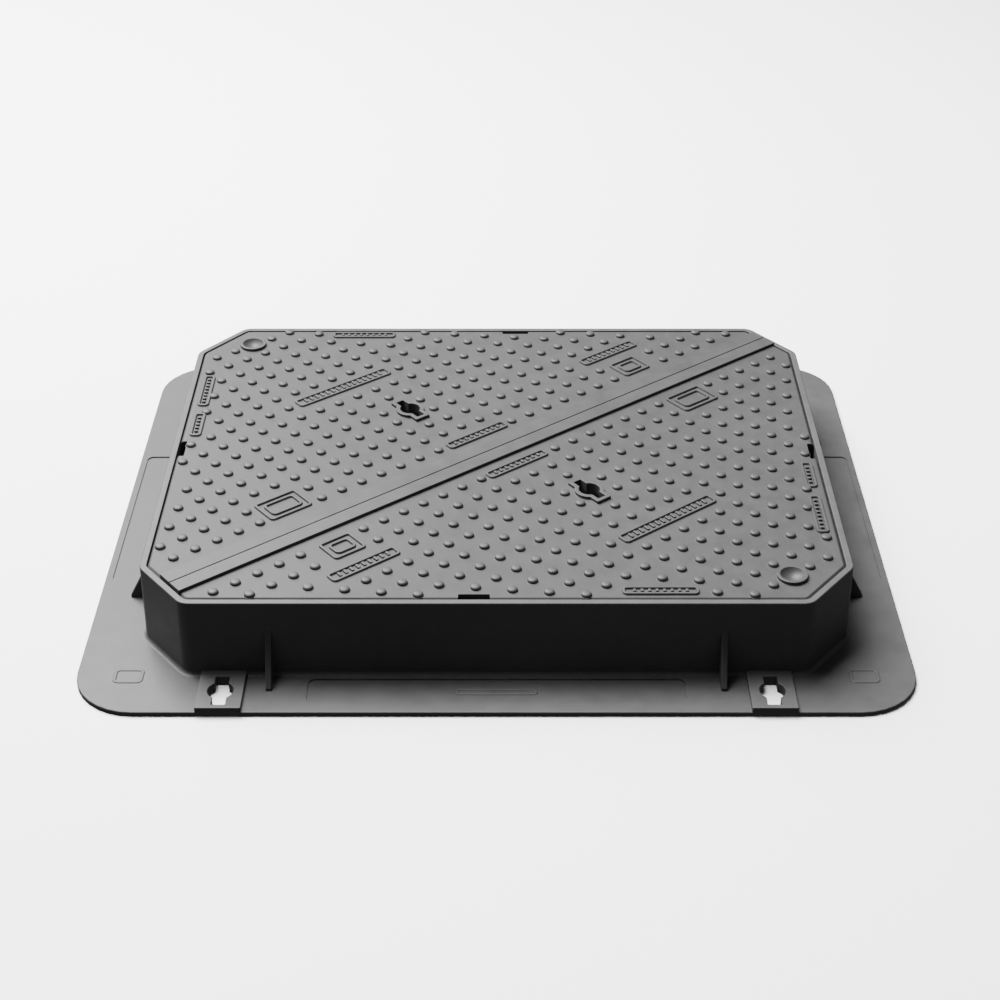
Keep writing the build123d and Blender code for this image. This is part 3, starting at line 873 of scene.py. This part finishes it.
def screw_thread(bottom, top):
    """A rod whose surface winds up as a thread between its root and crest radii."""
    rings = round((top - bottom) / THREAD_PITCH * RINGS_PER_TURN)
    points = []
    for ring in range(rings + 1):
        z = bottom + (top - bottom) * ring / rings
        for i in range(BOLT_CORNERS):
            turn = i / BOLT_CORNERS
            phase = (z / THREAD_PITCH - turn) % 1
            height = min(1, max(0, CREST_HEIGHT - abs(2 * phase - 1) * FLANK_STEEPNESS))
            fade = min(1, (top - z) / THREAD_PITCH, (z - bottom) / THREAD_PITCH)
            radius = THREAD_ROOT + (THREAD_CREST - THREAD_ROOT) * height * fade
            angle = math.tau * turn
            points.append((radius * math.cos(angle), radius * math.sin(angle), z))
    return capped(points, BOLT_CORNERS)


def bolt_solid():
    """Hexagon bolt with its head below z = 0 and its shank above."""
    head = new_object("head", loft(hexagon(), edge_profile(-HEAD_HEIGHT, -COLLAR_HEIGHT)))
    keep(head, chamfer_cone(-HEAD_HEIGHT, HEAD_HEIGHT, False))
    add(head, loft(circle(COLLAR_RADIUS, count=HOLE_COUNT), edge_profile(-OVERCUT, 0)))
    thread_start = BOLT_LENGTH - THREAD_LENGTH
    shank = circle(SHANK_RADIUS, count=BOLT_CORNERS)
    add(head, loft(shank, edge_profile(-OVERCUT, thread_start + THREAD_PITCH / 4)))
    add(head, screw_thread(thread_start, BOLT_LENGTH))
    return taken_back(head)


def nut_solid():
    nut = new_object("nut", loft(hexagon(), edge_profile(0, NUT_HEIGHT)))
    keep(nut, chamfer_cone(0, NUT_HEIGHT, True))
    bore = [(0, -OVERCUT), (0, NUT_HEIGHT + OVERCUT)]
    lower = [(-COUNTERSINK_OUT, -NUDGE), (COUNTERSINK_IN, COUNTERSINK_DEPTH)]
    upper = [(inset, NUT_HEIGHT - z) for inset, z in reversed(lower)]
    for profile in (bore, lower, upper):
        cut(nut, loft(circle(BORE_RADIUS, count=BOLT_CORNERS), profile))
    return taken_back(nut)


def washer_solid():
    edge = edge_profile(0, WASHER_THICKNESS, WASHER_ROUND, WASHER_ROUND)
    washer = new_object("washer", loft(circle(WASHER_RADIUS, count=56), edge))
    hole = edge_profile(-OVERCUT, WASHER_THICKNESS + OVERCUT)
    cut(washer, loft(circle(WASHER_HOLE, count=BOLT_CORNERS), hole))
    return taken_back(washer)


def build_fasteners():
    seat = BOSS_T + WASHER_THICKNESS
    kinds = (
        ("coupling_bolt", bolt_solid(), -seat),
        ("head_washer", washer_solid(), -seat),
        ("nut_washer", washer_solid(), BOSS_T),
        ("coupling_nut", nut_solid(), seat + NUT_PLAY),
    )
    made = []
    for kind, solid, t in kinds:
        for side, s in (("left", -BOLT_S), ("right", BOLT_S)):
            piece = new_object(f"{kind}_{side}_detail", across_joint(s, t, solid))
            made.append((piece, f"{kind}_{side}"))
    return made


# Materials

class Nodes:
    """Adds nodes to a material, each at its own place in the tree."""

    def __init__(self, name):
        self.material = bpy.data.materials.new(name)
        self.material.use_nodes = True
        self.tree = self.material.node_tree
        self.shader = self.tree.nodes["Principled BSDF"]
        self.where = self.add("ShaderNodeTexCoord").outputs["Object"]

    def add(self, kind, **settings):
        node = self.tree.nodes.new(kind)
        for key, value in settings.items():
            setattr(node, key, value)
        return node

    def link(self, start, end):
        self.tree.links.new(start, end)

    def noise(self, grain_mm, detail, roughness):
        """Noise from 0 to 1 whose patches are about grain_mm across."""
        node = self.add("ShaderNodeTexNoise")
        node.inputs["Scale"].default_value = 1 / (grain_mm * MM)
        node.inputs["Detail"].default_value = detail
        node.inputs["Roughness"].default_value = roughness
        self.link(self.where, node.inputs["Vector"])
        return node.outputs["Fac"]

    def scaled(self, value, low, high, to_low, to_high):
        """The value with low..high spread over to_low..to_high, held at both ends."""
        node = self.add("ShaderNodeMapRange")
        node.inputs["From Min"].default_value = low
        node.inputs["From Max"].default_value = high
        node.inputs["To Min"].default_value = to_low
        node.inputs["To Max"].default_value = to_high
        self.link(value, node.inputs["Value"])
        return node.outputs["Result"]

    def calc(self, operation, first, second):
        node = self.add("ShaderNodeMath", operation=operation)
        self.link(first, node.inputs[0])
        if isinstance(second, (int, float)):
            node.inputs[1].default_value = second
        else:
            self.link(second, node.inputs[1])
        return node.outputs["Value"]

    def tint(self, amount, low_colour, high_colour):
        """Blend from one colour to another, by amount from 0 to 1."""
        ramp = self.add("ShaderNodeValToRGB")
        ramp.color_ramp.elements[0].color = (*low_colour, 1)
        ramp.color_ramp.elements[1].color = (*high_colour, 1)
        self.link(amount, ramp.inputs["Fac"])
        self.link(ramp.outputs["Color"], self.shader.inputs["Base Color"])

    def bump(self, height, depth_mm, strength):
        node = self.add("ShaderNodeBump")
        node.inputs["Distance"].default_value = depth_mm * MM
        node.inputs["Strength"].default_value = strength
        self.link(height, node.inputs["Height"])
        self.link(node.outputs["Normal"], self.shader.inputs["Normal"])

    def pits(self, spacing_mm, size):
        """1 in the middle of small scattered pits, 0 elsewhere."""
        node = self.add("ShaderNodeTexVoronoi")
        node.inputs["Scale"].default_value = 1 / (spacing_mm * MM)
        self.link(self.where, node.inputs["Vector"])
        return self.scaled(node.outputs["Distance"], 0, size, 1, 0)


def casting_material(name, tone, wear_from, wear_to):
    """Dip-coated iron: sand-cast grain and pits, mottled, rubbed lighter from one height up."""
    nodes = Nodes(name)
    grain = nodes.noise(*GRAIN)
    mottle = nodes.noise(*MOTTLE)
    clouds = nodes.noise(*CLOUDS)
    pits = nodes.pits(*PITS)
    height = nodes.add("ShaderNodeSeparateXYZ")
    nodes.link(nodes.where, height.inputs["Vector"])
    rubbed = nodes.scaled(height.outputs["Z"], wear_from * MM, wear_to * MM, 0, 1)
    rubbed = nodes.calc("MULTIPLY", rubbed, nodes.scaled(mottle, *MOTTLE_RANGE, *RUB_RANGE))
    shade = nodes.scaled(nodes.calc("ADD", mottle, clouds), *SUM_RANGE, *SHADE_RANGE)
    shade = nodes.calc("ADD", shade, nodes.calc("MULTIPLY", rubbed, RUB_LIGHTENS))
    shade = nodes.calc("SUBTRACT", shade, nodes.calc("MULTIPLY", pits, PITS_DARKEN))
    dark, light = COAT_DARK * tone, COAT_LIGHT * tone
    nodes.tint(shade, (dark, dark, dark), (light, light, light))
    rough = nodes.scaled(nodes.calc("ADD", grain, mottle), *SUM_RANGE, *COAT_ROUGHNESS)
    rough = nodes.calc("SUBTRACT", rough, nodes.calc("MULTIPLY", rubbed, RUB_SMOOTHS))
    nodes.link(rough, nodes.shader.inputs["Roughness"])
    relief = nodes.calc("SUBTRACT", grain, nodes.calc("MULTIPLY", pits, PITS_SINK))
    nodes.bump(relief, *GRAIN_RELIEF)
    nodes.shader.inputs["IOR"].default_value = COAT_IOR
    return nodes.material


def zinc_material():
    """Dulled zinc plating: crystals of slightly different grey, and a fine brushed grain."""
    nodes = Nodes("zinc_plating")
    spangle = nodes.noise(*SPANGLE)
    stain = nodes.noise(*STAIN)
    shade = nodes.scaled(nodes.calc("ADD", spangle, stain), *ZINC_SUM_RANGE, 0, 1)
    nodes.tint(shade, ZINC_DARK, ZINC_LIGHT)
    rough = nodes.scaled(stain, *MOTTLE_RANGE, *ZINC_ROUGHNESS)
    nodes.link(rough, nodes.shader.inputs["Roughness"])
    nodes.bump(nodes.noise(*BRUSHING), *BRUSHING_RELIEF)
    nodes.shader.inputs["Metallic"].default_value = 1
    return nodes.material


# Stage

def look_at(thing, target):
    thing.rotation_euler = (Vector(target) - thing.location).to_track_quat("-Z", "Y").to_euler()


def add_camera():
    data = bpy.data.cameras.new("camera")
    data.lens = CAMERA_LENS
    data.sensor_width = SENSOR_WIDTH
    camera = bpy.data.objects.new("camera", data)
    bpy.context.collection.objects.link(camera)
    camera.location = CAMERA_PLACE
    camera.rotation_euler = (math.pi / 2 - math.radians(CAMERA_TILT), 0, 0)
    bpy.context.scene.camera = camera


def add_softbox(name, place, target, size, power):
    data = bpy.data.lights.new(name, "AREA")
    data.shape = "RECTANGLE"
    data.size, data.size_y = size
    data.energy = power
    light = bpy.data.objects.new(name, data)
    bpy.context.collection.objects.link(light)
    light.location = place
    look_at(light, target)


def add_surroundings():
    world = bpy.data.worlds.new("studio")
    bpy.context.scene.world = world
    world.use_nodes = True
    background = world.node_tree.nodes["Background"]
    background.inputs["Color"].default_value = (1, 1, 1, 1)
    background.inputs["Strength"].default_value = WORLD_STRENGTH


def add_floor():
    """Pale floor. It lights nothing itself, as the walls of the frame stay dark."""
    material = bpy.data.materials.new("floor")
    material.use_nodes = True
    shader = material.node_tree.nodes["Principled BSDF"]
    shader.inputs["Base Color"].default_value = (*FLOOR_COLOUR, 1)
    shader.inputs["Roughness"].default_value = FLOOR_ROUGHNESS
    half = FLOOR_SIZE / 2
    corners = [(-half, -half, 0), (half, -half, 0), (half, half, 0), (-half, half, 0)]
    floor = new_object("floor", (corners, [(0, 1, 2, 3)]))
    floor.data.materials.append(material)
    floor.visible_diffuse = False
    floor.visible_glossy = False


def place_piece(piece, material, body, node):
    """Shades a piece, and puts it on its body in place of its CAD node."""
    finish_shading(piece)
    piece.data.materials.append(material)
    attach(piece, body)
    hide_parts(node)


add_camera()
add_surroundings()
add_floor()
add_softbox("top_softbox", *TOP_SOFTBOX)
add_softbox("back_softbox", *BACK_SOFTBOX)

frame_iron = casting_material("frame_coat", 1, FRAME_DEPTH - RIM_RUB, FRAME_DEPTH)
place_piece(build_frame(), frame_iron, "frame", "frame")

leaf_iron = casting_material("leaf_coat", LEAF_TONE, LEAF_TOP + TREAD_RUB, TREAD_TOP)
front = build_leaf()
rear = front.copy()
rear.name = "rear_leaf_casting"
rear.data = front.data.copy()
bpy.context.collection.objects.link(rear)
rear.data.transform(HALF_TURN)
place_piece(front, leaf_iron, "front_leaf", "front_leaf")
place_piece(rear, leaf_iron, "rear_leaf", "rear_leaf")

zinc = zinc_material()
for piece, node in build_fasteners():
    place_piece(piece, zinc, "rear_leaf", node)
